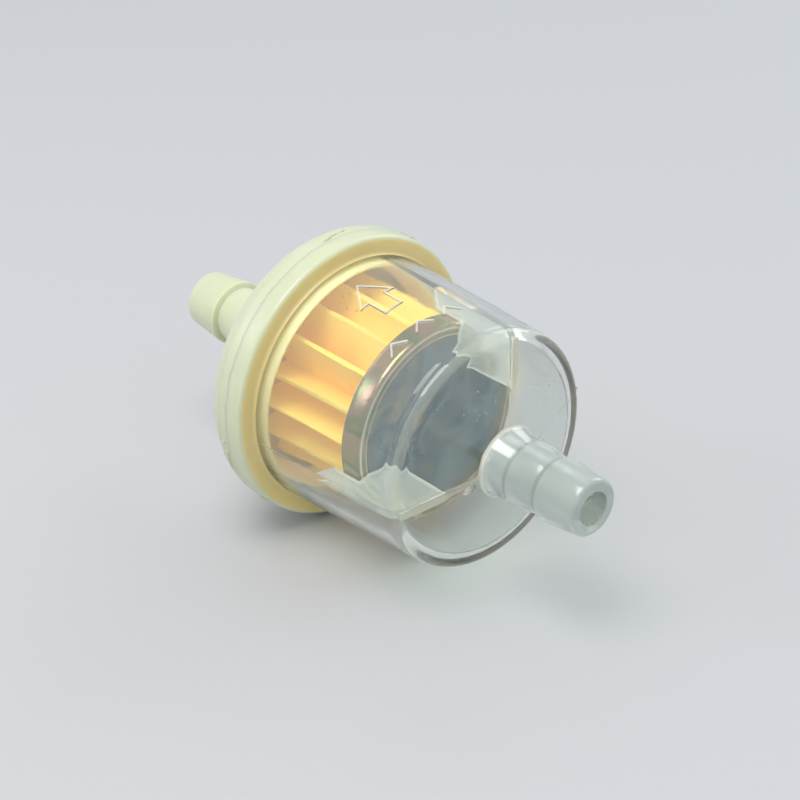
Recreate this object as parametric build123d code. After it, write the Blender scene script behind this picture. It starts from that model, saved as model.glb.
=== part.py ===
from build123d import *
import os
from math import cos, pi, radians, sin

# A small inline fuel filter: a clear moulded bowl and a milky cap welded together round a pleated
# paper element. Fuel enters through the bowl's barb, passes the paper from outside to inside, and
# leaves through the cap's barb. The flow axis is X, with the bowl's barb at +X.
# All lengths are millimetres. Angles are degrees about X, from +Y towards +Z.

# Overall
overall_length = 60.2
clearance = 0.08            # slip fit between pieces that go inside each other
mould_round = 0.3           # small edge round left by the moulds

# Hose barbs: one moulded shape used at both ends, for 1/4 inch hose
barb_length = 12.3          # from the end wall to the tip
bore_r = 1.8
barb_root_r = 3.85
barb_neck_r = 3.15
crest_r = (3.76, 3.62)      # the two hose-gripping crests, inner one first
crest_at = (8.9, 4.9)       # their distances from the tip
crest_back = 0.25           # axial length of the steep face behind each crest
second_neck_r = 3.05
tip_r = 3.12
tip_round = 0.45

# Bowl
bowl_length = 20.7          # from its flange's front face to the edge of the end wall
bowl_end_r = 13.25
bowl_open_r = 13.99         # the wall drafts outwards to its open end
bowl_wall = 1.1
end_rise = 2.9              # the end wall is a shallow cone that rises to the barb
end_corner_r = 1.2
flange_r = 15.95
bowl_flange_thickness = 2.8

# Ribs inside the bowl, which centre the element and hold it against the cap
rib_count = 3
rib_angle = 73.0            # of the first rib
rib_thickness = 1.0
rib_inner_r = 7.2
rib_low_length = 4.9        # the low part, beside the end cup
rib_foot_slope = 1.2        # axial run of the slope where the low part starts
rib_ledge_slope = 1.1       # axial run of the slope behind the ledge
rib_ledge_width = 1.3       # the square part of the ledge that the end cup rests on

# Raised flow marks on the bowl's side: an outlined arrow and a row of plain chevrons beside it
mark_height = 0.2
mark_line = 0.3
arrow_angle = 102.4
arrow_from_end = 13.9       # from the edge of the end wall to the arrow's middle
arrow_length = 5.3
arrow_head_length = 2.7
arrow_head_width = 4.0
arrow_shaft_width = 2.0
chevron_angles = (87.0, 103.0, 119.0)
chevron_from_end = 7.0
chevron_length = 1.3
chevron_width = 2.6

# Cap
cap_flange_thickness = 1.1
cap_shoulder_depth = 2.45   # axial depth of the rounded shoulder behind the flange
cap_shoulder_r = 13.5       # radius where the shoulder meets the end wall
cap_wall = 1.4
spigot_wall = 1.2
spigot_lip = 0.35           # the spigot thins to this at its mouth
spigot_taper = 3.2          # length of the thinning
spigot_length = 4.0         # how far the spigot reaches into the bowl past the weld

# Weld flash squeezed out of the seam between the flanges
flash_height = 0.22
flash_width = 0.8

# Paper element
pleat_count = 16
pleat_lean = 8.0            # how far each inner fold trails its outer fold, in degrees
pleat_open_r = 11.1         # outer folds at the cap end
pleat_cup_r = 10.4          # outer folds at the end cup
pleat_inner_r = 6.1
paper_thickness = 0.45
seam_pleat = 5              # the pleat that closes the sheet into a ring
seam_inner_r = 8.9
seam_outer_r = 9.8

# Closed end cup, drawn from thin plated steel
cup_r = 10.9
cup_depth = 2.5
cup_sheet = 0.35
cup_corner_r = 0.6
cup_recess_r = 9.6
cup_recess_depth = 0.5

# Potting compound that seals both ends of the paper
potting_hole_r = 5.0
outlet_potting_depth = 2.4
cup_potting_depth = 1.2
potting_floor = 0.4         # compound left under the paper's end

# Places along the axis, worked out from the sizes above
tip_x = overall_length / 2
bowl_barb_x = tip_x - barb_length
bowl_end_x = bowl_barb_x - end_rise
flange_front_x = bowl_end_x - bowl_length
weld_x = flange_front_x - bowl_flange_thickness
cap_flange_back_x = weld_x - cap_flange_thickness
cap_shoulder_x = cap_flange_back_x - cap_shoulder_depth
cap_barb_x = -tip_x + barb_length
spigot_end_x = weld_x + spigot_length
spigot_outer_r = bowl_open_r - bowl_wall - clearance
spigot_inner_r = spigot_outer_r - spigot_wall
bowl_draft = (bowl_open_r - bowl_end_r) / bowl_length
end_slope = end_rise / (bowl_end_r - barb_root_r)
element_floor_x = cap_shoulder_x + 0.4
cup_front_x = bowl_end_x - 7.4
cup_back_x = cup_front_x - cup_depth
rib_low_r = cup_r + clearance


def turned(points):
    """A solid turned about the X axis from an outline of (x, radius) points."""
    outline = Plane.XY * make_face(Polyline(*points, close=True))
    return revolve(outline, axis=Axis.X, revolution_arc=360)


def round_edges(solid, radius, places):
    """Rounds the full-circle edges that lie at the given (x, radius) places."""
    near = 0.02
    edges = [
        edge
        for edge in solid.edges().filter_by(GeomType.CIRCLE)
        if any(abs(edge.arc_center.X - x) < near and abs(edge.radius - r) < near for x, r in places)
    ]
    return fillet(edges, radius)


def barb_outline(tip, side):
    """Outer (x, radius) points of a hose barb from its tip to its root; side is +1 at +X, -1 at -X."""
    points = [(tip, tip_r)]
    points.append((tip - side * crest_at[1], crest_r[1]))
    points.append((tip - side * (crest_at[1] + crest_back), second_neck_r))
    points.append((tip - side * crest_at[0], crest_r[0]))
    points.append((tip - side * (crest_at[0] + crest_back), barb_neck_r))
    points.append((tip - side * barb_length, barb_root_r))
    return points


def flow_bore(x_from, x_to):
    """The straight fuel passage through a barb."""
    middle = Location(((x_from + x_to) / 2, 0, 0), (0, 90, 0))
    return middle * Cylinder(bore_r, abs(x_to - x_from))


def bowl_inner_r(x):
    """Radius of the bowl's inside wall at x."""
    return bowl_end_r - bowl_wall + (bowl_end_x - x) * bowl_draft


def bowl_rib(angle):
    """One fin on the inside of the bowl, low beside the end cup and tall in front of it."""
    wall_sink = bowl_wall / 2
    foot_x = cup_front_x - rib_low_length
    ledge_r = rib_low_r - rib_ledge_width
    inside_end_x = bowl_end_x - bowl_wall
    end_x = inside_end_x + (bowl_inner_r(inside_end_x) - rib_inner_r) * end_slope
    points = [
        (foot_x, bowl_inner_r(foot_x)),
        (foot_x, bowl_inner_r(foot_x) + wall_sink),
        (inside_end_x, bowl_inner_r(inside_end_x) + wall_sink),
        (end_x + wall_sink, rib_inner_r),
        (cup_front_x + clearance + rib_ledge_slope, rib_inner_r),
        (cup_front_x + clearance, ledge_r),
        (cup_front_x + clearance, rib_low_r),
        (foot_x + rib_foot_slope, rib_low_r),
    ]
    fin = extrude(Plane.XY * make_face(Polyline(*points, close=True)), rib_thickness / 2, both=True)
    return Rot(angle, 0, 0) * fin


def flow_arrow():
    """The outline of a flat block arrow that points along +X, centred on the origin."""
    half = arrow_length / 2
    head_x = half - arrow_head_length
    points = [
        (-half, -arrow_shaft_width / 2),
        (head_x, -arrow_shaft_width / 2),
        (head_x, -arrow_head_width / 2),
        (half, 0),
        (head_x, arrow_head_width / 2),
        (head_x, arrow_shaft_width / 2),
        (-half, arrow_shaft_width / 2),
    ]
    whole = make_face(Polyline(*points, close=True))
    return whole - offset(whole, -mark_line)


def chevron():
    """A flat V of one line's width that points along +X."""
    tip = chevron_length / 2
    side = chevron_width / 2
    points = [
        (tip, 0),
        (-tip, side),
        (-tip - mark_line, side - mark_line),
        (tip - 2 * mark_line, 0),
        (-tip - mark_line, mark_line - side),
        (-tip, -side),
    ]
    return make_face(Polyline(*points, close=True))


def raised_mark(flat_mark, angle, from_end):
    """A flat mark turned to point at the cap and raised on the bowl's side."""
    outer_r = bowl_end_r + from_end * bowl_draft
    base = Location((bowl_end_x - from_end, 0, outer_r - bowl_wall / 2), (0, 0, 180))
    prism = extrude(base * flat_mark, bowl_wall)
    skin_end_x = bowl_end_x - end_corner_r
    skin = turned([
        (flange_front_x, bowl_open_r - bowl_wall / 2),
        (skin_end_x, bowl_end_r - bowl_wall / 2),
        (skin_end_x, bowl_end_r + end_corner_r * bowl_draft + mark_height),
        (flange_front_x, bowl_open_r + mark_height),
    ])
    return Rot(angle - 90, 0, 0) * prism & skin


def bowl():
    """The clear bowl with its flange, three ribs, coned end wall and inlet barb, moulded in one."""
    inside_end_x = bowl_end_x - bowl_wall
    inside_barb_x = inside_end_x + (bowl_inner_r(inside_end_x) - bore_r) * end_slope
    outside = turned([
        (weld_x, 0),
        (weld_x, flange_r),
        (flange_front_x, flange_r),
        (flange_front_x, bowl_open_r),
        (bowl_end_x, bowl_end_r),
        *reversed(barb_outline(tip_x, 1)),
        (tip_x, 0),
    ])
    outside = round_edges(outside, end_corner_r, [(bowl_end_x, bowl_end_r)])
    outside = round_edges(outside, mould_round, [(flange_front_x, flange_r), (flange_front_x, bowl_open_r)])
    outside = round_edges(outside, tip_round, [(tip_x, tip_r)])
    inside = turned([
        (weld_x, 0),
        (weld_x, bowl_inner_r(weld_x)),
        (inside_end_x, bowl_inner_r(inside_end_x)),
        (inside_barb_x, bore_r),
        (inside_barb_x, 0),
    ])
    shell = outside - inside
    for number in range(rib_count):
        shell += bowl_rib(rib_angle + number * 360 / rib_count)
    shell += raised_mark(flow_arrow(), arrow_angle, arrow_from_end)
    for angle in chevron_angles:
        shell += raised_mark(chevron(), angle, chevron_from_end)
    return shell - flow_bore(inside_barb_x - 1, tip_x)


def cap():
    """The milky cap with its flange, rounded shoulder, spigot and outlet barb, moulded in one."""
    shoulder_middle_r = cap_shoulder_r + (flange_r - cap_shoulder_r) * 0.72
    shoulder_middle_x = cap_flange_back_x - cap_shoulder_depth * 0.42
    profile = [
        Line((weld_x, 0), (weld_x, flange_r)),
        Line((weld_x, flange_r), (cap_flange_back_x, flange_r)),
        ThreePointArc(
            (cap_flange_back_x, flange_r),
            (shoulder_middle_x, shoulder_middle_r),
            (cap_shoulder_x, cap_shoulder_r),
        ),
        Polyline((cap_shoulder_x, cap_shoulder_r), *reversed(barb_outline(-tip_x, -1)), (-tip_x, 0), (weld_x, 0)),
    ]
    outside = revolve(make_face(profile), axis=Axis.X, revolution_arc=360)
    outside = round_edges(outside, tip_round, [(-tip_x, tip_r)])
    outside += turned([
        (weld_x, 0),
        (spigot_end_x, 0),
        (spigot_end_x, spigot_outer_r),
        (weld_x, spigot_outer_r),
    ])
    plenum_r = spigot_inner_r - 1.6
    plenum_end_x = cap_barb_x + cap_wall * 0.8
    inside = turned([
        (spigot_end_x, 0),
        (spigot_end_x, spigot_outer_r - spigot_lip),
        (spigot_end_x - spigot_taper, spigot_inner_r),
        (element_floor_x, spigot_inner_r),
        (element_floor_x, plenum_r),
        (plenum_end_x, bore_r),
        (plenum_end_x, 0),
    ])
    return outside - inside - flow_bore(-tip_x, plenum_end_x + 1)


def weld_flash():
    """The thin bead of melted plastic left round the seam between the two flanges."""
    return turned([
        (weld_x - flash_width / 2, flange_r),
        (weld_x - flash_width / 4, flange_r + flash_height),
        (weld_x + flash_width / 4, flange_r + flash_height),
        (weld_x + flash_width / 2, flange_r),
    ])


def pleat_star(outer_r, inner_r):
    """A closed zigzag of folds, with the inner folds trailing the outer ones."""
    pitch = 2 * pi / pleat_count
    points = []
    for number in range(pleat_count):
        outer = number * pitch
        inner = outer + pitch / 2 + radians(pleat_lean)
        points.append((outer_r * cos(outer), outer_r * sin(outer)))
        points.append((inner_r * cos(inner), inner_r * sin(inner)))
    return Polyline(*points, close=True)


def pleat_prism(outer_change, inner_change):
    """The zigzag drawn out along the axis, narrowing from the cap end to the end cup."""
    x_from = element_floor_x + potting_floor
    x_to = cup_front_x - cup_sheet - cup_recess_depth - potting_floor
    shrink = pleat_cup_r / pleat_open_r
    start = Plane(origin=(x_from, 0, 0), x_dir=(0, 1, 0), z_dir=(1, 0, 0))
    finish = Plane(origin=(x_to, 0, 0), x_dir=(0, 1, 0), z_dir=(1, 0, 0))
    wide = pleat_star(pleat_open_r - outer_change, pleat_inner_r + inner_change)
    narrow = pleat_star((pleat_open_r - outer_change) * shrink, (pleat_inner_r + inner_change) * shrink)
    return loft([make_face(start * wide), make_face(finish * narrow)], ruled=True)


def paper_gap():
    """How far apart the two zigzags lie along a radius, for paper of the given thickness."""
    half_pitch = pi / pleat_count
    run = pleat_open_r - pleat_inner_r
    side = (pleat_open_r + pleat_inner_r) / 2 * half_pitch
    return paper_thickness * (run ** 2 + side ** 2) ** 0.5 / side / 2


def filter_paper():
    """The pleated paper, one sheet folded into a ring of leaning pleats."""
    return pleat_prism(0, paper_gap()) - pleat_prism(paper_gap(), 0)


def paper_seam():
    """The line of glue inside one pleat that closes the sheet into a ring."""
    x_from = element_floor_x + outlet_potting_depth
    x_to = cup_back_x
    ring = turned([(x_from, seam_inner_r), (x_to, seam_inner_r), (x_to, seam_outer_r), (x_from, seam_outer_r)])
    angle = seam_pleat * 360 / pleat_count
    sector = Rot(angle, 0, 0) * Location(((x_from + x_to) / 2, seam_outer_r, 0)) * Box(x_to - x_from, 6, 4)
    return ring & sector & pleat_prism(paper_gap(), 0)


def end_cup():
    """The drawn steel cup that closes the element's inlet end, with a shallow recess in its face."""
    back = cup_back_x
    front = cup_front_x
    recess_x = front - cup_recess_depth
    outside = turned([
        (back, 0),
        (back, cup_r),
        (front, cup_r),
        (front, cup_recess_r),
        (recess_x, cup_recess_r - cup_recess_depth),
        (recess_x, 0),
    ])
    outside = round_edges(outside, cup_corner_r, [(front, cup_r)])
    inside = turned([
        (back, 0),
        (back, cup_r - cup_sheet),
        (front - cup_sheet, cup_r - cup_sheet),
        (front - cup_sheet, cup_recess_r),
        (recess_x - cup_sheet, cup_recess_r - cup_recess_depth),
        (recess_x - cup_sheet, 0),
    ])
    inside = round_edges(inside, cup_corner_r - cup_sheet, [(front - cup_sheet, cup_r - cup_sheet)])
    return outside - inside


def cup_potting():
    """The compound that fills the floor of the end cup round the paper's closed end."""
    recess_x = cup_front_x - cup_recess_depth - cup_sheet
    fill = turned([
        (recess_x, 0),
        (recess_x, cup_r - cup_sheet - clearance),
        (recess_x - cup_potting_depth, cup_r - cup_sheet - clearance),
        (recess_x - cup_potting_depth, 0),
    ])
    return fill - filter_paper()


def outlet_potting():
    """The compound that seals the paper's open end into the cap, round the outlet hole."""
    fill = turned([
        (element_floor_x, potting_hole_r),
        (element_floor_x, spigot_inner_r),
        (element_floor_x + outlet_potting_depth, spigot_inner_r),
        (element_floor_x + outlet_potting_depth, potting_hole_r),
    ])
    return fill - filter_paper()


nodes = {
    "bowl": bowl,
    "cap": cap,
    "weld_flash": weld_flash,
    "filter_paper": filter_paper,
    "paper_seam": paper_seam,
    "end_cup": end_cup,
    "cup_potting": cup_potting,
    "outlet_potting": outlet_potting,
}

os.makedirs("parts", exist_ok=True)
for name, build in nodes.items():
    export_step(build(), f"parts/{name}.step")
    print("wrote", name)
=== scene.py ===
import bmesh
import bpy
from math import atan2, cos, pi, radians, sin, tan
from mathutils import Matrix, Vector
from random import Random


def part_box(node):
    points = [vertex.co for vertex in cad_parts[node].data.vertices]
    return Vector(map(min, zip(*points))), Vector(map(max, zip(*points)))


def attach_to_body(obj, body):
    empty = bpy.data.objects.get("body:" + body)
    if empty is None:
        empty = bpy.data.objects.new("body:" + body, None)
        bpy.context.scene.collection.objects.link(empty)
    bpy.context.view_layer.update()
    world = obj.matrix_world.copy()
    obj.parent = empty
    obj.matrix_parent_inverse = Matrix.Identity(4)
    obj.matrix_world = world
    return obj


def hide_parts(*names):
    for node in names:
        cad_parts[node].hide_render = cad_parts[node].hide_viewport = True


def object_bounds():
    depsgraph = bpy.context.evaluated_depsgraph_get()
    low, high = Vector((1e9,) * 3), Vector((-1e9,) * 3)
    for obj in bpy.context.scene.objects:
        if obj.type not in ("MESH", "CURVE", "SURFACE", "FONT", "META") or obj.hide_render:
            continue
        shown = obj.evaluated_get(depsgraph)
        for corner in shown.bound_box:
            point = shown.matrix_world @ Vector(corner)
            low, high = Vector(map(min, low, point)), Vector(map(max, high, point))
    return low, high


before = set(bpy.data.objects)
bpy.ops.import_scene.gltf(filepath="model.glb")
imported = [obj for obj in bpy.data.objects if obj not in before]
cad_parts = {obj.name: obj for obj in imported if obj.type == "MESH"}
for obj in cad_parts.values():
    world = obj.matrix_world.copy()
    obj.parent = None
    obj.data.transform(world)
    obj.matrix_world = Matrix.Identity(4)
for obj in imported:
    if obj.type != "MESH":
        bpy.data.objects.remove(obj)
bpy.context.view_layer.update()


# ---------------------------------------------------------------------------------------------
# Filter paper. One sheet of resin-treated paper, creased into sixteen leaning pleats and closed
# into a ring. The folds are rounded and not quite even, and the ring narrows towards the cup.
# ---------------------------------------------------------------------------------------------
mm = 0.001
pleat_count = 16
pleat_lean = 8.0
pleat_open_r = 11.1 * mm
pleat_cup_r = 10.4 * mm
pleat_inner_r = 6.1 * mm
sheet_thickness = 0.36 * mm
fold_round = 0.55 * mm
outer_fold_drift = 2.2
inner_fold_drift = 1.5
outer_fold_dip = 0.022
paper_waviness = 0.05 * mm
paper_lengths = 7
glued_pleat = 5
paper_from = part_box("filter_paper")[0].x
paper_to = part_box("filter_paper")[1].x


def start_ring(x, r, steps, fill="NOTHING"):
    """A new ring or disc round the flow axis, alone in the selection, in edit mode."""
    bpy.ops.object.select_all(action="DESELECT")
    bpy.ops.mesh.primitive_circle_add(
        vertices=steps, radius=r, fill_type=fill, location=(x, 0, 0), rotation=(0, pi / 2, 0)
    )
    bpy.ops.object.transform_apply(location=True, rotation=True, scale=True)
    bpy.ops.object.mode_set(mode="EDIT")
    return bpy.context.object


def pick(piece, wanted):
    """Selects just the vertices for which wanted(place) holds, in edit mode."""
    bpy.ops.mesh.select_mode(type="VERT")
    bpy.ops.mesh.select_all(action="DESELECT")
    mesh = bmesh.from_edit_mesh(piece.data)
    for vertex in mesh.verts:
        vertex.select = wanted(vertex.co)
    mesh.select_flush_mode()
    bmesh.update_edit_mesh(piece.data)


def select_only(*pieces):
    """Selects just these pieces, in object mode, and makes the last one active."""
    bpy.ops.object.select_all(action="DESELECT")
    for piece in pieces:
        piece.select_set(True)
    bpy.context.view_layer.objects.active = pieces[-1]


def finish_piece(piece, name, smooth_angle):
    """Names a shaped piece and smooths it up to an angle, in object mode."""
    bpy.ops.object.mode_set(mode="OBJECT")
    piece.name = name
    piece.data.name = name
    select_only(piece)
    bpy.ops.object.shade_smooth_by_angle(angle=radians(smooth_angle))


def add_wall(piece, thickness, offset):
    """Gives a sheet its thickness, with a modifier."""
    wall = piece.modifiers.new("wall", "SOLIDIFY")
    wall.thickness = thickness
    wall.offset = offset


def apply_all(piece):
    """Applies every modifier on a piece, in order."""
    select_only(piece)
    for modifier in list(piece.modifiers):
        bpy.ops.object.modifier_apply(modifier=modifier.name)


hand = Random(7)
paper = start_ring(paper_from, pleat_open_r - sheet_thickness / 2, pleat_count * 2)
half_pitch = pi / pleat_count
for fold in range(pleat_count * 2):
    along = fold * half_pitch
    jitter = 0.0 if fold // 2 == glued_pleat else 1.0
    place = Vector((0, cos(along), sin(along)))
    pick(paper, lambda co: Vector((0, co.y, co.z)).normalized().dot(place) > 0.999)
    if fold % 2 == 1:
        shrink = (pleat_inner_r + sheet_thickness / 2) / (pleat_open_r - sheet_thickness / 2)
        turn = pleat_lean + jitter * hand.uniform(-inner_fold_drift, inner_fold_drift)
    else:
        shrink = 1 - jitter * hand.uniform(0, outer_fold_dip)
        turn = jitter * hand.uniform(-outer_fold_drift, outer_fold_drift)
    bpy.ops.transform.resize(value=(1, shrink, shrink), center_override=(0, 0, 0))
    bpy.ops.transform.rotate(value=-radians(turn), orient_axis="X", center_override=(0, 0, 0))
bpy.ops.mesh.select_all(action="SELECT")
bpy.ops.mesh.bevel(offset=fold_round, offset_type="OFFSET", segments=4, affect="VERTICES")
bpy.ops.mesh.select_all(action="SELECT")
step = (paper_to - paper_from) / paper_lengths
shrink = 1 - (1 - pleat_cup_r / pleat_open_r) / paper_lengths
for length in range(paper_lengths):
    bpy.ops.mesh.extrude_edges_move(TRANSFORM_OT_translate={"value": (step, 0, 0)})
    bpy.ops.transform.resize(value=(1, shrink, shrink), center_override=(0, 0, 0))
    if length < paper_lengths - 1:
        bpy.ops.transform.vertex_random(offset=paper_waviness, uniform=1.0, normal=0.0, seed=11 + length)
bpy.ops.mesh.select_all(action="SELECT")
bpy.ops.mesh.normals_make_consistent(inside=False)
bpy.ops.object.mode_set(mode="OBJECT")
add_wall(paper, sheet_thickness, 0)
apply_all(paper)
finish_piece(paper, "pleated_paper", 75)


def new_material(name):
    """A new node material, with its tree and its Principled shader."""
    material = bpy.data.materials.new(name)
    material.use_nodes = True
    tree = material.node_tree
    return material, tree, tree.nodes["Principled BSDF"]


def add_node(tree, kind, **settings):
    """A node with its settings, and its inputs by socket name with _ for a space."""
    node = tree.nodes.new(kind)
    for key, value in settings.items():
        if hasattr(node, key):
            setattr(node, key, value)
        else:
            node.inputs[key.replace("_", " ")].default_value = value
    return node


def colour_ramp(tree, stops):
    """A colour ramp from (position, colour) stops."""
    ramp = tree.nodes.new("ShaderNodeValToRGB")
    ramp.color_ramp.elements[0].position = stops[0][0]
    ramp.color_ramp.elements[0].color = (*stops[0][1], 1)
    ramp.color_ramp.elements[1].position = stops[-1][0]
    ramp.color_ramp.elements[1].color = (*stops[-1][1], 1)
    for position, colour in stops[1:-1]:
        ramp.color_ramp.elements.new(position).color = (*colour, 1)
    return ramp


def fine_texture():
    """The shader group for fine unevenness: a mottle mask, a grain height and a speck mask."""
    group = bpy.data.node_groups.new("fine_texture", "ShaderNodeTree")
    group.interface.new_socket("Vector", in_out="INPUT", socket_type="NodeSocketVector")
    for name in ("Mottle Scale", "Grain Scale", "Speck Scale", "Speck Size"):
        group.interface.new_socket(name, in_out="INPUT", socket_type="NodeSocketFloat")
    for name in ("Mottle", "Grain", "Specks"):
        group.interface.new_socket(name, in_out="OUTPUT", socket_type="NodeSocketFloat")
    come_in = group.nodes.new("NodeGroupInput")
    go_out = group.nodes.new("NodeGroupOutput")
    mottle = add_node(group, "ShaderNodeTexNoise", Detail=3.0, Roughness=0.55)
    grain = add_node(group, "ShaderNodeTexNoise", Detail=2.0, Roughness=0.6)
    cells = group.nodes.new("ShaderNodeTexVoronoi")
    speck = add_node(group, "ShaderNodeMath", operation="LESS_THAN")
    patches = add_node(group, "ShaderNodeTexNoise", Scale=160.0, Detail=1.0)
    some = add_node(group, "ShaderNodeMath", operation="GREATER_THAN")
    some.inputs[1].default_value = 0.56
    both = add_node(group, "ShaderNodeMath", operation="MULTIPLY")
    links = group.links
    for node in (mottle, grain, cells, patches):
        links.new(come_in.outputs["Vector"], node.inputs["Vector"])
    links.new(come_in.outputs["Mottle Scale"], mottle.inputs["Scale"])
    links.new(come_in.outputs["Grain Scale"], grain.inputs["Scale"])
    links.new(come_in.outputs["Speck Scale"], cells.inputs["Scale"])
    links.new(cells.outputs["Distance"], speck.inputs[0])
    links.new(come_in.outputs["Speck Size"], speck.inputs[1])
    links.new(patches.outputs["Fac"], some.inputs[0])
    links.new(speck.outputs[0], both.inputs[0])
    links.new(some.outputs[0], both.inputs[1])
    links.new(mottle.outputs["Fac"], go_out.inputs["Mottle"])
    links.new(grain.outputs["Fac"], go_out.inputs["Grain"])
    links.new(both.outputs[0], go_out.inputs["Specks"])
    return group


fine_texture_group = fine_texture()


def add_fine_texture(tree, mottle_scale, grain_scale, speck_scale, speck_size):
    """The fine texture group placed in a material, read on the piece's own Object coordinates."""
    place = tree.nodes.new("ShaderNodeTexCoord")
    texture = tree.nodes.new("ShaderNodeGroup")
    texture.node_tree = fine_texture_group
    texture.inputs["Mottle Scale"].default_value = mottle_scale
    texture.inputs["Grain Scale"].default_value = grain_scale
    texture.inputs["Speck Scale"].default_value = speck_scale
    texture.inputs["Speck Size"].default_value = speck_size
    tree.links.new(place.outputs["Object"], texture.inputs["Vector"])
    return texture


def add_bump(tree, shader, height, strength, distance):
    """Bumps a shader's normal by a height."""
    bump = add_node(tree, "ShaderNodeBump", Strength=strength, Distance=distance)
    tree.links.new(height, bump.inputs["Height"])
    tree.links.new(bump.outputs["Normal"], shader.inputs["Normal"])


def mixed(tree, factor, low, high):
    """A colour mixed between two by a factor. Each is a plain colour or a node's output."""
    mix = tree.nodes.new("ShaderNodeMix")
    mix.data_type = "RGBA"
    tree.links.new(factor, mix.inputs[0])
    for socket, colour in ((mix.inputs[6], low), (mix.inputs[7], high)):
        if isinstance(colour, tuple):
            socket.default_value = (*colour, 1)
        else:
            tree.links.new(colour, socket)
    return mix.outputs[2]


def by_radius(tree, inner, outer):
    """A mask that goes from 0 at one radius from the flow axis to 1 at another."""
    place = tree.nodes.new("ShaderNodeTexCoord")
    flat = add_node(tree, "ShaderNodeVectorMath", operation="MULTIPLY")
    flat.inputs[1].default_value = (0, 1, 1)
    length = add_node(tree, "ShaderNodeVectorMath", operation="LENGTH")
    span = tree.nodes.new("ShaderNodeMapRange")
    span.inputs["From Min"].default_value = inner
    span.inputs["From Max"].default_value = outer
    tree.links.new(place.outputs["Object"], flat.inputs[0])
    tree.links.new(flat.outputs[0], length.inputs[0])
    tree.links.new(length.outputs["Value"], span.inputs["Value"])
    return span.outputs[0]


paper_finish, tree, shader = new_material("treated_paper")
fibres = add_fine_texture(tree, 500.0, 9000.0, 1500.0, 0.16)
# Painted shade: the sheet turns a darker orange towards the inside of the pleats, for the shade in the
# valleys between the folds. The dark flecks are the paper's own.
valley_shade_colour = mixed(tree, fibres.outputs["Mottle"], (0.85, 0.53, 0.07), (0.89, 0.59, 0.09))
fold_colour = mixed(tree, fibres.outputs["Mottle"], (0.86, 0.61, 0.10), (0.90, 0.67, 0.14))
shaded_sheet_colour = mixed(tree, by_radius(tree, 8.0 * mm, 10.9 * mm), valley_shade_colour, fold_colour)
flecks_and_shade_colour = mixed(tree, fibres.outputs["Specks"], shaded_sheet_colour, (0.45, 0.22, 0.07))
tree.links.new(flecks_and_shade_colour, shader.inputs["Base Color"])
# Painted glow: the sheet's colour is also given off as a faint emission, standing in for light shining
# through the thin paper.
tree.links.new(flecks_and_shade_colour, shader.inputs["Emission Color"])
add_bump(tree, shader, fibres.outputs["Grain"], 0.5, 0.06 * mm)
shader.inputs["Roughness"].default_value = 0.85
shader.inputs["Subsurface Weight"].default_value = 0.25
shader.inputs["Subsurface Radius"].default_value = (1.0, 0.7, 0.4)
shader.inputs["Subsurface Scale"].default_value = 0.8 * mm
shader.inputs["Emission Strength"].default_value = 0.2
paper.data.materials.append(paper_finish)
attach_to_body(paper, "root")
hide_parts("filter_paper")


# ---------------------------------------------------------------------------------------------
# Paper seam. A line of hard glue laid inside one pleat, which closes the sheet into a ring.
# ---------------------------------------------------------------------------------------------
glue_finish, tree, shader = new_material("hard_glue")
glue_skin = add_fine_texture(tree, 900.0, 5000.0, 900.0, 0.1)
glue_colour = mixed(tree, glue_skin.outputs["Mottle"], (0.55, 0.30, 0.10), (0.72, 0.46, 0.18))
tree.links.new(glue_colour, shader.inputs["Base Color"])
add_bump(tree, shader, glue_skin.outputs["Mottle"], 0.6, 0.2 * mm)
shader.inputs["Roughness"].default_value = 0.3


def refinish(node, finish):
    """Gives a carried-over node its finish."""
    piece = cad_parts[node]
    piece.data.materials.clear()
    piece.data.materials.append(finish)
    for face in piece.data.polygons:
        face.material_index = 0


refinish("paper_seam", glue_finish)


# ---------------------------------------------------------------------------------------------
# Potting. Cream compound cast into the floor of the end cup and into the cap round the paper's
# ends, which seals them. It has set with a slightly uneven skin.
# ---------------------------------------------------------------------------------------------
potting_finish, tree, shader = new_material("cast_potting")
potting_skin = add_fine_texture(tree, 400.0, 3000.0, 1200.0, 0.2)
potting_colour = mixed(tree, potting_skin.outputs["Mottle"], (0.66, 0.60, 0.42), (0.80, 0.75, 0.58))
tree.links.new(potting_colour, shader.inputs["Base Color"])
add_bump(tree, shader, potting_skin.outputs["Mottle"], 0.5, 0.3 * mm)
shader.inputs["Roughness"].default_value = 0.45
shader.inputs["Subsurface Weight"].default_value = 0.2
shader.inputs["Subsurface Scale"].default_value = 1 * mm
refinish("cup_potting", potting_finish)
refinish("outlet_potting", potting_finish)


# ---------------------------------------------------------------------------------------------
# End cup. Drawn from thin steel sheet with a rounded corner and a shallow recess in its face,
# then zinc plated and passivated, which gives the thin gold, pink and green colours. These are
# darkened as a painted dark reflection, and two cream rings on the face are painted highlights.
# ---------------------------------------------------------------------------------------------
cup_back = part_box("end_cup")[0].x
cup_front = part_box("end_cup")[1].x
cup_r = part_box("end_cup")[1].y
cup_sheet = 0.35 * mm
cup_recess_r = 9.6 * mm
cup_recess_depth = 0.5 * mm


def rounded(corners, segments=5):
    """The points of an outline from (x, radius, rounding) corners; its ends stay sharp."""
    points = [Vector(corners[0][:2])]
    for before, corner, after in zip(corners, corners[1:], corners[2:]):
        here = Vector(corner[:2])
        if corner[2] == 0:
            points.append(here)
            continue
        back = (Vector(before[:2]) - here).normalized()
        on = (Vector(after[:2]) - here).normalized()
        half = back.angle(on) / 2
        centre = here + (back + on).normalized() * corner[2] / sin(half)
        start = here + back * corner[2] / tan(half) - centre
        end = here + on * corner[2] / tan(half) - centre
        first = atan2(start.y, start.x)
        sweep = (atan2(end.y, end.x) - first + pi) % (2 * pi) - pi
        for number in range(segments + 1):
            angle = first + sweep * number / segments
            points.append(centre + Vector((cos(angle), sin(angle))) * corner[2])
    points.append(Vector(corners[-1][:2]))
    return points


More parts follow.
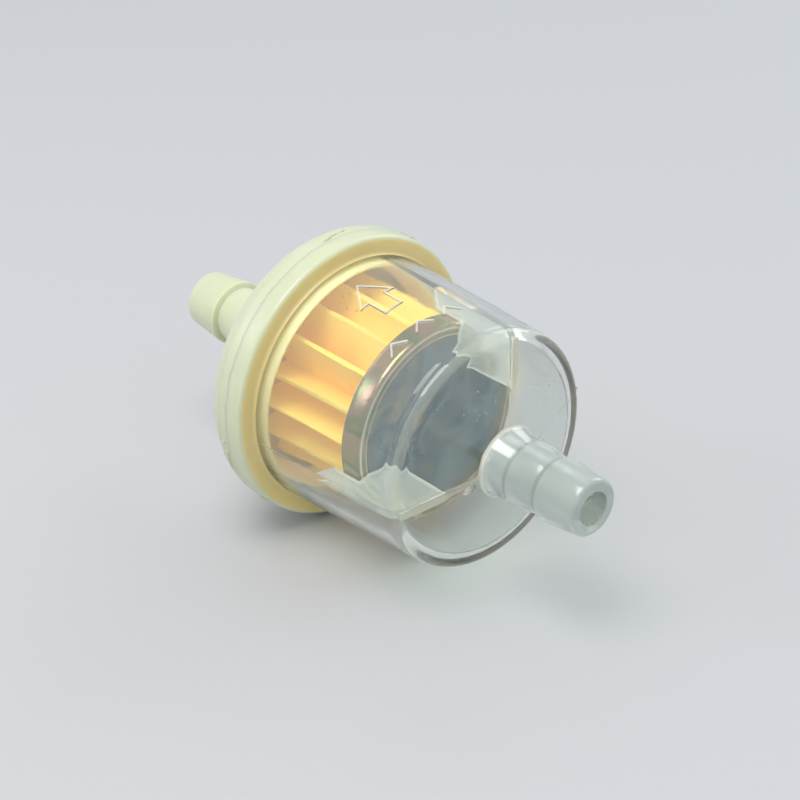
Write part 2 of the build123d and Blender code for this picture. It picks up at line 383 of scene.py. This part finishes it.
def draw_on(points):
    """Extrudes the selected ring, now at the first point, through the other (x, radius) points."""
    for here, there in zip(points, points[1:]):
        bpy.ops.mesh.extrude_edges_move(TRANSFORM_OT_translate={"value": (there.x - here.x, 0, 0)})
        grow = max(there.y, 1e-6) / here.y
        bpy.ops.transform.resize(value=(1, grow, grow), center_override=(0, 0, 0))


def round_edges(piece, width, segments, angle):
    """Rounds a piece's edges that are sharper than an angle, with a modifier."""
    edges = piece.modifiers.new("edges", "BEVEL")
    edges.width = width
    edges.segments = segments
    edges.limit_method = "ANGLE"
    edges.angle_limit = radians(angle)


cup_outline = rounded([
    (cup_front - cup_recess_depth, 2 * mm, 0),
    (cup_front - cup_recess_depth, cup_recess_r - cup_recess_depth, 0.4 * mm),
    (cup_front, cup_recess_r + 0.1 * mm, 0.35 * mm),
    (cup_front, cup_r, 0.6 * mm),
    (cup_back + 0.25 * mm, cup_r - 0.06 * mm, 0.5 * mm),
    (cup_back, cup_r, 0),
])
cup = start_ring(cup_outline[0].x, cup_outline[0].y, 144, fill="NGON")
pick(cup, lambda co: True)
bpy.ops.mesh.select_mode(type="EDGE")
draw_on(cup_outline)
bpy.ops.mesh.select_all(action="SELECT")
bpy.ops.mesh.normals_make_consistent(inside=False)
bpy.ops.object.mode_set(mode="OBJECT")
add_wall(cup, cup_sheet, -1)
round_edges(cup, 0.08 * mm, 2, 50)
apply_all(cup)
finish_piece(cup, "drawn_cup", 40)


def vary_gloss(tree, shader, mask, low, high):
    """Varies a shader's roughness between two values by a mask."""
    spread = add_node(tree, "ShaderNodeMapRange", To_Min=low, To_Max=high)
    tree.links.new(mask, spread.inputs["Value"])
    tree.links.new(spread.outputs[0], shader.inputs["Roughness"])


cup_finish, tree, shader = new_material("passivated_zinc")
plating = add_fine_texture(tree, 170.0, 2600.0, 1300.0, 0.14)
film = add_node(tree, "ShaderNodeTexNoise", Scale=120.0, Detail=3.0, Distortion=0.6)
film_place = tree.nodes.new("ShaderNodeTexCoord")
tree.links.new(film_place.outputs["Object"], film.inputs["Vector"])
# The gold, pink, green and blue-grey tints are the passivated zinc's own. All are darkened as a painted
# dark reflection, the face most, standing in for dark surroundings mirrored in the metal.
side_film_dark_reflection = colour_ramp(tree, [
    (0.30, (0.20, 0.22, 0.09)), (0.42, (0.38, 0.33, 0.13)), (0.52, (0.50, 0.31, 0.23)),
    (0.60, (0.19, 0.27, 0.12)), (0.72, (0.42, 0.35, 0.16)),
])
face_film_dark_reflection = colour_ramp(tree, [
    (0.30, (0.07, 0.12, 0.16)), (0.45, (0.24, 0.31, 0.32)),
    (0.55, (0.10, 0.16, 0.20)), (0.70, (0.44, 0.40, 0.27)),
])
tree.links.new(film.outputs["Fac"], side_film_dark_reflection.inputs[0])
tree.links.new(film.outputs["Fac"], face_film_dark_reflection.inputs[0])
# Painted highlights: two thin cream rings in the colour, at the edge of the recess and where the face
# turns over the front corner, stand in for the light that these curved edges catch.
painted_bead_highlights = colour_ramp(tree, [
    (0.10, (0, 0, 0)), (0.18, (1, 1, 1)), (0.26, (0, 0, 0)),
    (0.56, (0, 0, 0)), (0.68, (1, 1, 1)), (0.82, (0, 0, 0)),
])
tree.links.new(by_radius(tree, 9.5 * mm, 10.9 * mm), painted_bead_highlights.inputs[0])
out_from_face = by_radius(tree, 8.4 * mm, 10.2 * mm)
film_and_dark_reflection_colour = mixed(tree, out_from_face, face_film_dark_reflection.outputs[0], side_film_dark_reflection.outputs[0])
cup_film_and_highlight_colour = mixed(tree, painted_bead_highlights.outputs[0], film_and_dark_reflection_colour, (1.0, 0.90, 0.68))
tree.links.new(cup_film_and_highlight_colour, shader.inputs["Base Color"])
vary_gloss(tree, shader, plating.outputs["Mottle"], 0.18, 0.34)
shader.inputs["Metallic"].default_value = 1.0
add_bump(tree, shader, plating.outputs["Grain"], 0.06, 0.02 * mm)
cup.data.materials.append(cup_finish)
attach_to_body(cup, "root")
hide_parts("end_cup")


# ---------------------------------------------------------------------------------------------
# Cap. Moulded in one from milky nylon: the flange that is welded to the bowl, a rounded shoulder,
# the spigot that holds the paper, and the outlet barb. Thick and translucent, not clear.
# ---------------------------------------------------------------------------------------------
turn_steps = 168
outlet_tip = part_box("cap")[0].x
weld_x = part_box("bowl")[0].x
spigot_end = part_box("cap")[1].x
element_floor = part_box("outlet_potting")[0].x
flange_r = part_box("cap")[1].y
weld_gap = 0.004 * mm
bore_r = 1.8 * mm
spigot_outer_r = 12.81 * mm
spigot_inner_r = 11.61 * mm
spigot_lead_in = 3.2 * mm
outlet_bore_end = -16.7 * mm
barb_length = 12.3 * mm
barb_root_r = 3.85 * mm
barb_tip_r = 3.12 * mm
barb_crests = (4.9 * mm, 8.9 * mm)
barb_crest_r = (3.64 * mm, 3.78 * mm)
barb_neck_r = (3.05 * mm, 3.15 * mm)
barb_neck_ends = (5.75 * mm, 9.78 * mm)
barb_neck_end_r = (3.167 * mm, 3.29 * mm)
crest_drop = 0.25 * mm


def barb_corners(tip, side):
    """The corners of a hose barb from its bore's mouth, over its two crests, to its root."""
    return [
        (tip - side * 2 * mm, bore_r, 0),
        (tip, bore_r, 0.15 * mm),
        (tip, barb_tip_r, 0.45 * mm),
        (tip - side * barb_crests[0], barb_crest_r[0], 0.06 * mm),
        (tip - side * (barb_crests[0] + crest_drop), barb_neck_r[0], 0.08 * mm),
        (tip - side * barb_neck_ends[0], barb_neck_end_r[0], 0),
        (tip - side * barb_crests[1], barb_crest_r[1], 0.06 * mm),
        (tip - side * (barb_crests[1] + crest_drop), barb_neck_r[1], 0.10 * mm),
        (tip - side * barb_neck_ends[1], barb_neck_end_r[1], 0),
        (tip - side * barb_length, barb_root_r, 0.5 * mm),
    ]


def turned_ring(outline):
    """A closed ring turned about the flow axis from the points of a closed outline, in edit mode."""
    piece = start_ring(outline[0].x, outline[0].y, turn_steps)
    bpy.ops.mesh.select_mode(type="EDGE")
    bpy.ops.mesh.select_all(action="SELECT")
    draw_on(outline + outline[:1])
    bpy.ops.mesh.select_all(action="SELECT")
    bpy.ops.mesh.remove_doubles(threshold=0.002 * mm)
    bpy.ops.mesh.normals_make_consistent(inside=False)
    return piece


cap_outline = rounded([
    *barb_corners(outlet_tip, -1),
    (weld_x - 3.55 * mm, 13.45 * mm, 0.8 * mm),
    (weld_x - 2.35 * mm, 15.1 * mm, 1.6 * mm),
    (weld_x - 0.9 * mm, flange_r - 0.05 * mm, 1.2 * mm),
    (weld_x - weld_gap, flange_r, 0.1 * mm),
    (weld_x - weld_gap, spigot_outer_r, 0.1 * mm),
    (spigot_end, spigot_outer_r - 0.05 * mm, 0.12 * mm),
    (spigot_end, spigot_outer_r - 0.36 * mm, 0.12 * mm),
    (spigot_end - spigot_lead_in, spigot_inner_r, 0.5 * mm),
    (element_floor, spigot_inner_r, 0),
    (element_floor, 10.0 * mm, 0.2 * mm),
    (outlet_bore_end, bore_r, 0.3 * mm),
    (outlet_tip + 2 * mm, bore_r, 0),
])
cap = turned_ring(cap_outline)
finish_piece(cap, "outlet_cap", 35)

cap_finish, tree, shader = new_material("milky_nylon")
cap_skin = add_fine_texture(tree, 160.0, 2500.0, 700.0, 0.1)
cap_colour = mixed(tree, cap_skin.outputs["Mottle"], (0.60, 0.64, 0.44), (0.67, 0.70, 0.51))
tree.links.new(cap_colour, shader.inputs["Base Color"])
vary_gloss(tree, shader, cap_skin.outputs["Mottle"], 0.22, 0.42)
add_bump(tree, shader, cap_skin.outputs["Mottle"], 0.25, 0.15 * mm)
shader.inputs["IOR"].default_value = 1.5
shader.inputs["Subsurface Weight"].default_value = 0.8
shader.inputs["Subsurface Radius"].default_value = (1.0, 0.95, 0.55)
shader.inputs["Subsurface Scale"].default_value = 1.0 * mm


def recoloured(name, low, high):
    """A copy of the cap's finish between two other colours."""
    finish = cap_finish.copy()
    finish.name = name
    mix = next(node for node in finish.node_tree.nodes if node.type == "MIX")
    mix.inputs[6].default_value = (*low, 1)
    mix.inputs[7].default_value = (*high, 1)
    return finish


# Painted glow: the spigot gets a warmer yellow and a faint emission, standing in for light scattered in
# the thick cap that comes out at the spigot and makes it look warmer than the rest.
spigot_glow_finish = recoloured("spigot_painted_glow_nylon", (0.86, 0.76, 0.36), (0.92, 0.84, 0.46))
shader = spigot_glow_finish.node_tree.nodes["Principled BSDF"]
shader.inputs["Emission Strength"].default_value = 0.10
shader.inputs["Emission Color"].default_value = (0.9, 0.8, 0.42, 1)
cap.data.materials.append(cap_finish)
cap.data.materials.append(spigot_glow_finish)
for face in cap.data.polygons:
    face.material_index = 1 if face.center.x > weld_x + 0.1 * mm else 0
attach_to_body(cap, "root")
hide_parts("cap")


# ---------------------------------------------------------------------------------------------
# Bowl. Moulded in one from clear nylon: the welded flange, a thin wall with a little draft, a
# shallow coned end wall, three inside ribs and the inlet barb. Thick parts look hazier.
# ---------------------------------------------------------------------------------------------
inlet_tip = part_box("bowl")[1].x
bowl_end = inlet_tip - 15.2 * mm
bowl_barb = inlet_tip - barb_length
flange_front = weld_x + 2.8 * mm
bowl_end_r = 13.25 * mm
bowl_open_r = 13.99 * mm
bowl_wall = 1.1 * mm
bowl_draft = (bowl_open_r - bowl_end_r) / (bowl_end - flange_front)
inside_end = bowl_end - 0.9 * mm
end_rise = 3.2 * mm
end_wall_depth = 1.245 * mm


def bowl_inner_r(x):
    """Radius of the bowl's inside wall at x."""
    return bowl_end_r - bowl_wall + (bowl_end - x) * bowl_draft


bowl_outline = rounded([
    *barb_corners(inlet_tip, 1),
    (bowl_end, bowl_end_r, 1.2 * mm),
    (flange_front, bowl_open_r, 0.35 * mm),
    (flange_front, flange_r, 0.5 * mm),
    (weld_x + weld_gap, flange_r, 0.1 * mm),
    (weld_x + weld_gap, bowl_inner_r(weld_x), 0.1 * mm),
    (inside_end, bowl_inner_r(inside_end), 2.0 * mm),
    (inside_end + end_rise, bore_r, 0.3 * mm),
    (inlet_tip - 2 * mm, bore_r, 0),
])
bowl = turned_ring(bowl_outline)
bpy.ops.object.mode_set(mode="OBJECT")

rib_thickness = 1.0 * mm
rib_inner_r = 7.2 * mm
rib_play = 0.08 * mm
rib_slant = 1.2 * mm
rib_low_r = cup_r + rib_play
rib_ledge_r = rib_low_r - 1.3 * mm
rib_foot = cup_front - 4.9 * mm
rib_sink = bowl_wall / 2
rib_angles = (72, 194.5, 313)


def cut_plate(name, corners, thickness, outline=0):
    """A flat plate from its (x, height) corners, or just its outline of a given width."""
    bpy.ops.object.select_all(action="DESELECT")
    bpy.ops.mesh.primitive_circle_add(
        vertices=len(corners), radius=10 * mm, fill_type="NGON", rotation=(pi / 2, 0, 0)
    )
    bpy.ops.object.transform_apply(location=True, rotation=True, scale=True)
    plate = bpy.context.object
    plate.name = name
    bpy.ops.object.mode_set(mode="EDIT")
    mesh = bmesh.from_edit_mesh(plate.data)
    mesh.verts.ensure_lookup_table()
    for vertex, (x, height) in zip(mesh.verts, corners):
        vertex.co = (x, -thickness / 2, height)
    bmesh.update_edit_mesh(plate.data)
    bpy.ops.mesh.select_all(action="SELECT")
    if outline:
        bpy.ops.mesh.inset(thickness=outline)
        bpy.ops.mesh.delete(type="FACE")
        bpy.ops.mesh.select_all(action="SELECT")
    bpy.ops.mesh.extrude_region_move(TRANSFORM_OT_translate={"value": (0, thickness, 0)})
    bpy.ops.mesh.select_all(action="SELECT")
    bpy.ops.mesh.normals_make_consistent(inside=False)
    bpy.ops.object.mode_set(mode="OBJECT")
    return plate


def turn_piece(piece, degrees):
    """Turns a piece about the flow axis, from +Y towards +Z, and applies the turn."""
    piece.rotation_euler = (radians(degrees), 0, 0)
    select_only(piece)
    bpy.ops.object.transform_apply(location=True, rotation=True, scale=True)


def combine(piece, other, operation):
    """Applies a boolean of two pieces to the first one, and removes the other."""
    boolean = piece.modifiers.new("boolean", "BOOLEAN")
    boolean.operation = operation
    boolean.solver = "EXACT"
    boolean.object = other
    apply_all(piece)
    bpy.data.objects.remove(other)


def attach(whole, part):
    """Joins a small part that overlaps a moulding into its mesh, as one more shell."""
    select_only(part, whole)
    bpy.ops.object.join()


end_slope = end_rise / (bowl_inner_r(inside_end) - bore_r)
rib_end = inside_end + (bowl_inner_r(inside_end) - rib_inner_r) * end_slope
rib_corners = [
    (rib_foot, bowl_inner_r(rib_foot)),
    (rib_foot, bowl_inner_r(rib_foot) + rib_sink),
    (inside_end, bowl_inner_r(inside_end) + rib_sink),
    (rib_end + rib_sink, rib_inner_r),
    (cup_front + rib_slant, rib_inner_r),
    (cup_front + rib_play, rib_ledge_r),
    (cup_front + rib_play, rib_low_r),
    (rib_foot + rib_slant, rib_low_r),
]
rib = cut_plate("rib", rib_corners, rib_thickness)
round_edges(rib, 0.2 * mm, 3, 60)
apply_all(rib)


def copied(piece):
    """A copy of a piece with its own mesh."""
    copy = piece.copy()
    copy.data = piece.data.copy()
    bpy.context.collection.objects.link(copy)
    return copy


# The ribs are one with the bowl, so that no surface is left between them.
for fin, angle in zip([rib, copied(rib), copied(rib)], rib_angles):
    turn_piece(fin, angle - 90)
    combine(bowl, fin, "UNION")

# Where a rib runs into the end wall the plastic is thick; a thin shell there in the pale finish shows as
# a cream band, a painted highlight on the rib's root.
root_from = 0.1 * mm
root_to = 0.5 * mm
root_corners = [
    (inside_end + root_from, bowl_inner_r(inside_end)),
    (inside_end + root_to, bowl_inner_r(inside_end)),
    (rib_end + root_to, rib_inner_r),
    (rib_end + root_from, rib_inner_r),
]
rib_root = cut_plate("rib_root", root_corners, rib_thickness * 0.9)
for root, angle in zip([rib_root, copied(rib_root), copied(rib_root)], rib_angles):
    turn_piece(root, angle - 90)
    attach(bowl, root)

# The raised flow marks: an outlined arrow towards the cap, and plain chevrons beside it.
mark_line = 0.2 * mm
mark_height = 0.12 * mm
arrow_angle = 102.4
arrow_tip = bowl_end - 16.55 * mm
arrow_head = arrow_tip + 2.7 * mm
arrow_tail = arrow_tip + 5.3 * mm
head_half = 2.0 * mm
shaft_half = 1.0 * mm
arrow_corners = [
    (arrow_tip, 0), (arrow_head, head_half), (arrow_head, shaft_half), (arrow_tail, shaft_half),
    (arrow_tail, -shaft_half), (arrow_head, -shaft_half), (arrow_head, -head_half),
]
chevron_tip = bowl_end - 7.65 * mm
chevron_angles = (87, 103, 119)
chevron_corners = [
    (chevron_tip, 0), (chevron_tip + 1.3 * mm, 1.3 * mm), (chevron_tip + 1.46 * mm, 1.14 * mm),
    (chevron_tip + 0.32 * mm, 0),
    (chevron_tip + 1.46 * mm, -1.14 * mm), (chevron_tip + 1.3 * mm, -1.3 * mm),
]
mark_depth = 0.15 * mm
mark_upright = 5 * mm


def raise_mark(mark, angle):
    """Trims a mark's upright to a skin over the bowl's wall, and sets it in the wall."""
    skin = turned_ring([
        Vector((flange_front + 1 * mm, bowl_open_r - mark_depth)),
        Vector((bowl_end - 2 * mm, bowl_end_r - mark_depth)),
        Vector((bowl_end - 2 * mm, bowl_end_r + 2 * mm * bowl_draft + mark_height)),
        Vector((flange_front + 1 * mm, bowl_open_r - 1 * mm * bowl_draft + mark_height)),
    ])
    bpy.ops.object.mode_set(mode="OBJECT")
    turn_piece(mark, angle)
    combine(mark, skin, "INTERSECT")
    attach(bowl, mark)


arrow = cut_plate("arrow", arrow_corners, mark_upright, mark_line)
arrow.data.transform(Matrix.Translation((0, bowl_open_r, 0)))
raise_mark(arrow, arrow_angle)
chevron = cut_plate("chevron", chevron_corners, mark_upright)
chevron.data.transform(Matrix.Translation((0, bowl_open_r, 0)))
for mark, angle in zip([chevron, copied(chevron), copied(chevron)], chevron_angles):
    raise_mark(mark, angle)

# The parting line, where the two mould halves met: a hair of flash from the barb's root to the
# flange. The two cuts are closer than bisect's tolerance, so each side of the bowl is left with
# one open sheet that has no thickness. Nibs of flash stand on the bowl's corner and the barb, and
# a crumb on the end wall.
parting_angle = 10
parting_width = 0.09 * mm
parting_height = 0.04 * mm
parting_depth = 0.12 * mm


def outside_corners(grow):
    """The corners of the bowl's outside from the barb's root to the flange, moved out by grow."""
    return [
        (bowl_barb + grow, barb_root_r, 0),
        (bowl_end + grow, bowl_end_r + grow, 1.2 * mm),
        (flange_front + 0.4 * mm, bowl_open_r + grow, 0),
    ]


parting = turned_ring(
    rounded(outside_corners(parting_height)) + rounded(outside_corners(-parting_depth))[::-1]
)
for side in (1, -1):
    bpy.ops.mesh.select_all(action="SELECT")
    bpy.ops.mesh.bisect(
        plane_co=(0, 0, side * parting_width / 2), plane_no=(0, 0, side),
        use_fill=True, clear_outer=True,
    )
bpy.ops.object.mode_set(mode="OBJECT")
turn_piece(parting, parting_angle)
attach(bowl, parting)


def nib(whole, place, sizes, seed):
    """A rough lump on a moulding, at (x, radius, angle), of (axial, radial, round) sizes."""
    x, r, angle = place
    bpy.ops.object.select_all(action="DESELECT")
    bpy.ops.mesh.primitive_ico_sphere_add(subdivisions=2, radius=0.5, location=(0, 0, 0))
    lump = bpy.context.object
    bpy.ops.object.mode_set(mode="EDIT")
    bpy.ops.transform.vertex_random(offset=0.12, uniform=1.0, normal=0.0, seed=seed)
    bpy.ops.transform.resize(value=sizes, center_override=(0, 0, 0))
    bpy.ops.transform.translate(value=(x, r, 0))
    bpy.ops.object.mode_set(mode="OBJECT")
    turn_piece(lump, angle)
    attach(whole, lump)


bowl_nibs = [
    ((bowl_end - 0.35 * mm, bowl_end_r - 0.15 * mm, parting_angle), (0.45 * mm, 0.5 * mm, 0.3 * mm)),
    ((bowl_barb + 2.9 * mm, 3.4 * mm, 58), (0.5 * mm, 0.9 * mm, 0.35 * mm)),
    ((inlet_tip - 0.5 * mm, 3.0 * mm, parting_angle), (0.4 * mm, 0.6 * mm, 0.3 * mm)),
    ((bowl_end + 2.45 * mm, 5.2 * mm, 197), (0.35 * mm, 1.7 * mm, 0.9 * mm)),
]
for seed, (place, nib_sizes) in enumerate(bowl_nibs, start=1):
    nib(bowl, place, nib_sizes, seed)

# Specks on the end wall, in two loose patches.
for patch_r, patch_angle, count in ((9.3 * mm, 40, 26), (6.9 * mm, 111, 14)):
    for speck in range(count):
        r = patch_r + hand.gauss(0, 1.1 * mm)
        size = hand.uniform(0.08, 0.17) * mm
        place = (bowl_end + (bowl_end_r - r) * end_slope, r, patch_angle + hand.gauss(0, 11))
        nib(bowl, place, (size, size, size), speck)

finish_piece(bowl, "inlet_bowl", 35)


def let_light_by(material, tint):
    """Lets lamps shine through a material with a tint, so that what lies behind it is lit."""
    tree = material.node_tree
    path = tree.nodes.new("ShaderNodeLightPath")
    clear = tree.nodes.new("ShaderNodeBsdfTransparent")
    clear.inputs[0].default_value = (*tint, 1)
    either = tree.nodes.new("ShaderNodeMixShader")
    tree.links.new(path.outputs["Is Shadow Ray"], either.inputs[0])
    tree.links.new(tree.nodes["Principled BSDF"].outputs[0], either.inputs[1])
    tree.links.new(clear.outputs[0], either.inputs[2])
    tree.links.new(either.outputs[0], tree.nodes["Material Output"].inputs["Surface"])


def clear_nylon(name, low, high, see_through, gloss, shadow, specks):
    """A nylon finish between two colours, which lamps shine through."""
    material, tree, shader = new_material(name)
    skin = add_fine_texture(tree, 220.0, 1800.0, 650.0, 0.12)
    tree.links.new(mixed(tree, skin.outputs["Mottle"], low, high), shader.inputs["Base Color"])
    vary_gloss(tree, shader, skin.outputs["Mottle"], *gloss)
    bumps = add_node(tree, "ShaderNodeMath", operation="MULTIPLY_ADD")
    bumps.inputs[1].default_value = specks
    tree.links.new(skin.outputs["Specks"], bumps.inputs[0])
    tree.links.new(skin.outputs["Mottle"], bumps.inputs[2])
    add_bump(tree, shader, bumps.outputs[0], 0.12, 0.15 * mm)
    shader.inputs["IOR"].default_value = 1.5
    shader.inputs["Transmission Weight"].default_value = see_through
    let_light_by(material, shadow)
    return material


wall_finish = clear_nylon(
    "clear_nylon", (0.86, 0.90, 0.88), (0.92, 0.95, 0.93), 0.94, (0.03, 0.09), (0.90, 0.92, 0.90), 0.2
)
rib_finish = clear_nylon(
    "rib_nylon", (0.84, 0.89, 0.86), (0.90, 0.94, 0.91), 0.80, (0.05, 0.12), (0.86, 0.89, 0.86), 0.1
)
# The end corner gets a hazier, cream finish: partly the nylon's haze, partly painted light for the light
# gathered in the wall's edge, which makes the ring look bright.
corner_painted_light_finish = clear_nylon(
    "corner_painted_light_nylon", (0.86, 0.88, 0.78), (0.92, 0.94, 0.86), 0.80, (0.04, 0.10), (0.8, 0.82, 0.75), 0.1
)
barb_finish = clear_nylon(
    "hazy_nylon", (0.68, 0.75, 0.71), (0.75, 0.82, 0.78), 0.62, (0.10, 0.20), (0.7, 0.74, 0.7), 0.0
)
barb_finish.node_tree.nodes["Principled BSDF"].inputs["Coat Weight"].default_value = 0.9
barb_finish.node_tree.nodes["Principled BSDF"].inputs["Coat Roughness"].default_value = 0.04
# Painted shade: the inside of the bore is given a dark grey nylon, standing in for the shade inside the
# hole.
bore_shade_finish = clear_nylon(
    "bore_painted_shade_nylon", (0.30, 0.34, 0.31), (0.42, 0.46, 0.42), 0.55, (0.2, 0.35), (0.7, 0.74, 0.7), 0.0
)
# A pale cream nylon: painted highlights on the rib roots, the rib edges and the raised marks, and the
# own colour of the specks and the crumb on the end wall.
highlight_and_speck_finish = clear_nylon(
    "highlight_and_speck_nylon", (0.92, 0.90, 0.76), (0.96, 0.94, 0.84), 0.58, (0.04, 0.10), (0.9, 0.9, 0.85), 0.0
)
# Painted shade: the barb's necks just behind each crest are given a darker nylon, standing in for the
# shade that the crests cast there.
neck_shade_finish = clear_nylon(
    "neck_painted_shade_nylon", (0.52, 0.59, 0.56), (0.60, 0.67, 0.64), 0.62, (0.10, 0.20), (0.7, 0.74, 0.7), 0.0
)
# Painted glow: the flange's front face is given a warm yellow, standing in for the yellow paper's light
# showing through the nylon.
rim_glow_finish = recoloured("rim_painted_glow_nylon", (0.78, 0.66, 0.28), (0.85, 0.74, 0.37))
let_light_by(rim_glow_finish, (0.6, 0.55, 0.4))
bowl_finishes = {
    "wall": wall_finish, "barb": barb_finish, "rim": rim_glow_finish, "rib": rib_finish,
    "corner": corner_painted_light_finish, "bore": bore_shade_finish, "flange": cap_finish, "cream": highlight_and_speck_finish,
    "neck": neck_shade_finish,
}
slot_names = list(bowl_finishes)
for finish in bowl_finishes.values():
    bowl.data.materials.append(finish)


def bowl_part(face):
    """Which part of the bowl a face belongs to, by the names of the bowl's finishes."""
    x, y, z = face.center
    r = (y ** 2 + z ** 2) ** 0.5
    into_wall = x - inside_end - (bowl_inner_r(inside_end) - r) * end_slope
    if r < bore_r + 0.05 * mm:
        return "bore"
    if x > bowl_barb + 0.4 * mm:
        behind = inlet_tip - x
        # The necks behind the crests take the painted shade.
        for crest, neck_end in zip(barb_crests, barb_neck_ends):
            if crest + 0.05 * mm < behind < neck_end:
                return "neck"
        return "barb"
    if x < flange_front + 0.3 * mm and r > bowl_open_r - 0.2 * mm:
        return "flange" if r > flange_r - 0.3 * mm else "rim"
    at_end = x > bowl_end - 1.25 * mm
    if at_end and r > bowl_end_r - 1.05 * mm and face.normal.x > 0.25:
        return "corner"
    # The raised marks take the pale finish, which paints a highlight along their strokes; the specks and
    # the crumb on the end wall take it too.
    if x < bowl_end - 2 * mm and r > bowl_end_r + (bowl_end - x) * bowl_draft + 0.04 * mm:
        return "cream"
    if at_end and into_wall > end_wall_depth:
        return "cream"
    for angle in rib_angles:
        up, over = sin(radians(angle)), cos(radians(angle))
        beside_rib = abs(over * z - up * y)
        if over * y + up * z <= 0 or beside_rib >= rib_thickness / 2 + 0.02 * mm:
            continue
        # Painted highlights: the rib's root shell and its rounded edges take the pale cream finish.
        if r < bowl_inner_r(x) + 0.1 * mm and 0.03 * mm < into_wall < 0.7 * mm:
            return "cream"
        if r < bowl_inner_r(x) - 0.1 * mm and into_wall < 0:
            facing_round = abs(over * face.normal.z - up * face.normal.y)
            return "rib" if facing_round > 0.97 else "cream"
    return "wall"


for face in bowl.data.polygons:
    face.material_index = slot_names.index(bowl_part(face))
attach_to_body(bowl, "root")
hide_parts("bowl")


# ---------------------------------------------------------------------------------------------
# Weld flash. A thin, smooth bead of nylon squeezed out of the weld between the two flanges, with
# rough tags round the rim that were never trimmed.
# ---------------------------------------------------------------------------------------------
tag_angles = (44, 47, 52, 86, 89, 92, 95, 191, 196, 199, 203, 228, 236, 247, 310, 341)
flash = turned_ring([
    Vector((weld_x - 1.0 * mm, flange_r - 0.12 * mm)),
    Vector((weld_x - 0.45 * mm, flange_r + 0.01 * mm)),
    Vector((weld_x, flange_r + 0.03 * mm)),
    Vector((weld_x + 0.45 * mm, flange_r + 0.01 * mm)),
    Vector((weld_x + 1.0 * mm, flange_r - 0.05 * mm)),
    Vector((weld_x + 1.0 * mm, flange_r - 0.12 * mm)),
])
bpy.ops.mesh.select_all(action="SELECT")
bpy.ops.transform.vertex_random(offset=0.012 * mm, uniform=1.0, normal=0.0, seed=4)
bpy.ops.object.mode_set(mode="OBJECT")
for angle in tag_angles:
    tag_sizes = (0.35 * mm, hand.uniform(0.25, 0.4) * mm, hand.uniform(0.5, 1.3) * mm)
    nib(flash, (weld_x + hand.uniform(-0.2, 0.2) * mm, flange_r + 0.02 * mm, angle), tag_sizes, angle)
finish_piece(flash, "weld_bead", 60)
flash_finish, tree, shader = new_material("flash_nylon")
flash_skin = add_fine_texture(tree, 160.0, 2500.0, 700.0, 0.1)
flash_colour = mixed(tree, flash_skin.outputs["Mottle"], (0.58, 0.62, 0.42), (0.65, 0.68, 0.49))
tree.links.new(flash_colour, shader.inputs["Base Color"])
shader.inputs["Roughness"].default_value = 0.35
flash.data.materials.append(flash_finish)
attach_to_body(flash, "root")
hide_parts("weld_flash")


# ---------------------------------------------------------------------------------------------
# Studio. A plain pale floor under the flange, a large soft light overhead and to the front, two
# weaker ones from the cap's side and from behind, and a long-lens camera above the bowl's end.
# ---------------------------------------------------------------------------------------------
floor_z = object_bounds()[0][2]
bpy.ops.object.select_all(action="DESELECT")
bpy.ops.mesh.primitive_plane_add(size=6, location=(0, 0, floor_z))
floor = bpy.context.object
floor.name = "floor"
floor_finish, _, shader = new_material("pale_board")
shader.inputs["Base Color"].default_value = (0.52, 0.53, 0.54, 1)
shader.inputs["Roughness"].default_value = 0.6
floor.data.materials.append(floor_finish)

room = bpy.data.worlds.new("room")
room.use_nodes = True
room.node_tree.nodes["Background"].inputs[0].default_value = (0.92, 0.95, 1.0, 1)
room.node_tree.nodes["Background"].inputs[1].default_value = 0.7
bpy.context.scene.world = room


def soft_light(name, place, size, power, colour):
    """A square soft box at a place, turned to the part's origin."""
    lamp = bpy.data.lights.new(name, "AREA")
    lamp.shape = "SQUARE"
    lamp.size = size
    lamp.energy = power
    lamp.color = colour
    stand = bpy.data.objects.new(name, lamp)
    stand.location = place
    stand.rotation_euler = (-Vector(place)).to_track_quat("-Z", "Y").to_euler()
    bpy.context.collection.objects.link(stand)


soft_light("key", (0.02, -0.16, 0.42), 0.26, 1.3, (1.0, 0.98, 0.95))
soft_light("side", (-0.30, -0.30, 0.20), 0.10, 0.22, (0.88, 0.94, 1.0))
soft_light("back", (-0.05, 0.38, 0.22), 0.22, 0.35, (0.90, 0.95, 1.0))

lens = bpy.data.cameras.new("camera")
lens.lens = 144
lens.sensor_width = 36
lens.clip_start = 0.01
camera = bpy.data.objects.new("camera", lens)
camera.location = (0.21677, -0.19616, 0.16890)
camera_aim = Vector((0.00685, -0.00489, 0.00448))
camera.rotation_euler = (camera_aim - camera.location).to_track_quat("-Z", "Y").to_euler()
bpy.context.collection.objects.link(camera)
bpy.context.scene.camera = camera
bpy.context.scene.view_settings.view_transform = "Standard"
